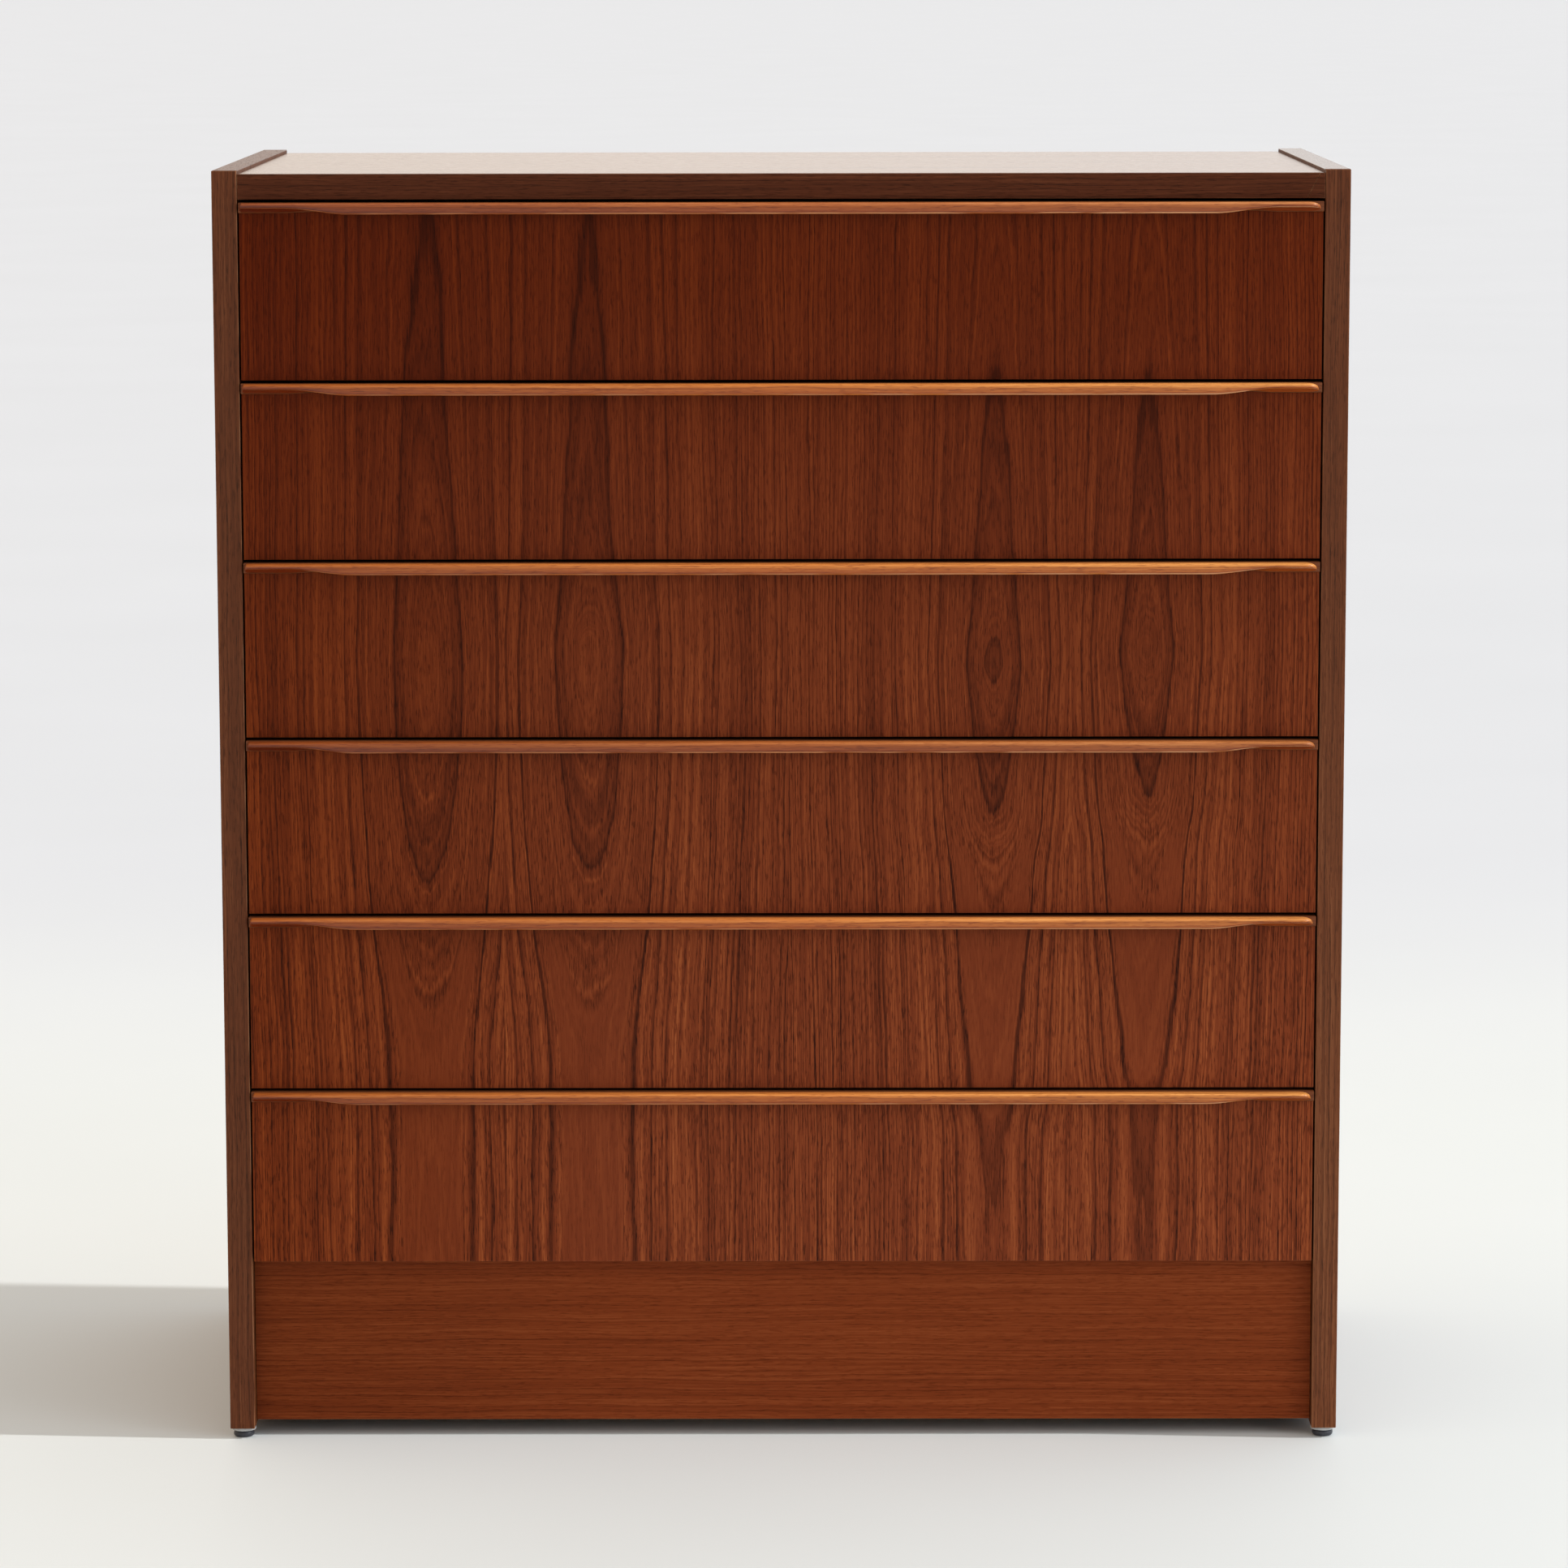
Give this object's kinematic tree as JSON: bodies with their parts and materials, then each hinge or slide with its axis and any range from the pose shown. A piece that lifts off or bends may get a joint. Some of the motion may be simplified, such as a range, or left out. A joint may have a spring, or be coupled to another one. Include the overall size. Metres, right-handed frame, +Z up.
{
  "type": "tall chest of drawers",
  "caption": "Tall narrow wooden chest of full-width drawers between two side panels, with a sculpted finger pull along the top edge of each front, a recessed plinth and small glides.",
  "frame": {"origin": "on the floor under the middle of the chest's bounding box, at the glides' undersides", "axes": "+Z up, -Y out of the drawer fronts, +X to the right of a person facing the fronts"},
  "size_m": [0.8, 0.424, 0.914],
  "materials": {
    "teak_veneer": "oiled teak veneer, satin",
    "teak_edging": "solid teak edging, aged, satin",
    "teak_pull": "solid teak, shaped and oiled, satin",
    "teak_plinth": "teak veneer, satin",
    "drawer_wood": "pale hardwood, thin lacquer",
    "runner_wood": "beech, waxed and rubbed",
    "plywood": "thin plywood, sealed",
    "glide_plastic": "moulded nail-on glide"
  },
  "bodies": {
    "carcase": {"side_panel_left": "teak_veneer", "side_panel_right": "teak_veneer", "top_panel": "teak_veneer", "top_edge_strip": "teak_edging", "bottom_panel": "drawer_wood", "rear_rail": "drawer_wood", "back_panel": "plywood", "plinth_board": "teak_plinth", "glide_front_left": "glide_plastic", "glide_front_right": "glide_plastic", "glide_rear_left": "glide_plastic", "glide_rear_right": "glide_plastic", "runner_1_left": "runner_wood", "runner_1_right": "runner_wood", "runner_2_left": "runner_wood", "runner_2_right": "runner_wood", "runner_3_left": "runner_wood", "runner_3_right": "runner_wood", "runner_4_left": "runner_wood", "runner_4_right": "runner_wood", "runner_5_left": "runner_wood", "runner_5_right": "runner_wood", "runner_6_left": "runner_wood", "runner_6_right": "runner_wood"},
    "drawer_1": {"drawer_1_front": "teak_veneer", "drawer_1_pull": "teak_pull", "drawer_1_side_left": "drawer_wood", "drawer_1_side_right": "drawer_wood", "drawer_1_back": "drawer_wood", "drawer_1_bottom": "plywood"},
    "drawer_2": {"drawer_2_front": "teak_veneer", "drawer_2_pull": "teak_pull", "drawer_2_side_left": "drawer_wood", "drawer_2_side_right": "drawer_wood", "drawer_2_back": "drawer_wood", "drawer_2_bottom": "plywood"},
    "drawer_3": {"drawer_3_front": "teak_veneer", "drawer_3_pull": "teak_pull", "drawer_3_side_left": "drawer_wood", "drawer_3_side_right": "drawer_wood", "drawer_3_back": "drawer_wood", "drawer_3_bottom": "plywood"},
    "drawer_4": {"drawer_4_front": "teak_veneer", "drawer_4_pull": "teak_pull", "drawer_4_side_left": "drawer_wood", "drawer_4_side_right": "drawer_wood", "drawer_4_back": "drawer_wood", "drawer_4_bottom": "plywood"},
    "drawer_5": {"drawer_5_front": "teak_veneer", "drawer_5_pull": "teak_pull", "drawer_5_side_left": "drawer_wood", "drawer_5_side_right": "drawer_wood", "drawer_5_back": "drawer_wood", "drawer_5_bottom": "plywood"},
    "drawer_6": {"drawer_6_front": "teak_veneer", "drawer_6_pull": "teak_pull", "drawer_6_side_left": "drawer_wood", "drawer_6_side_right": "drawer_wood", "drawer_6_back": "drawer_wood", "drawer_6_bottom": "plywood"}
  },
  "joints": [
    {"name": "drawer_1_slide", "type": "slide", "parent": "carcase", "child": "drawer_1", "axis": [0, -1, 0], "range_m": [0, 0.32]},
    {"name": "drawer_2_slide", "type": "slide", "parent": "carcase", "child": "drawer_2", "axis": [0, -1, 0], "range_m": [0, 0.32]},
    {"name": "drawer_3_slide", "type": "slide", "parent": "carcase", "child": "drawer_3", "axis": [0, -1, 0], "range_m": [0, 0.32]},
    {"name": "drawer_4_slide", "type": "slide", "parent": "carcase", "child": "drawer_4", "axis": [0, -1, 0], "range_m": [0, 0.32]},
    {"name": "drawer_5_slide", "type": "slide", "parent": "carcase", "child": "drawer_5", "axis": [0, -1, 0], "range_m": [0, 0.32]},
    {"name": "drawer_6_slide", "type": "slide", "parent": "carcase", "child": "drawer_6", "axis": [0, -1, 0], "range_m": [0, 0.32]}
  ]
}
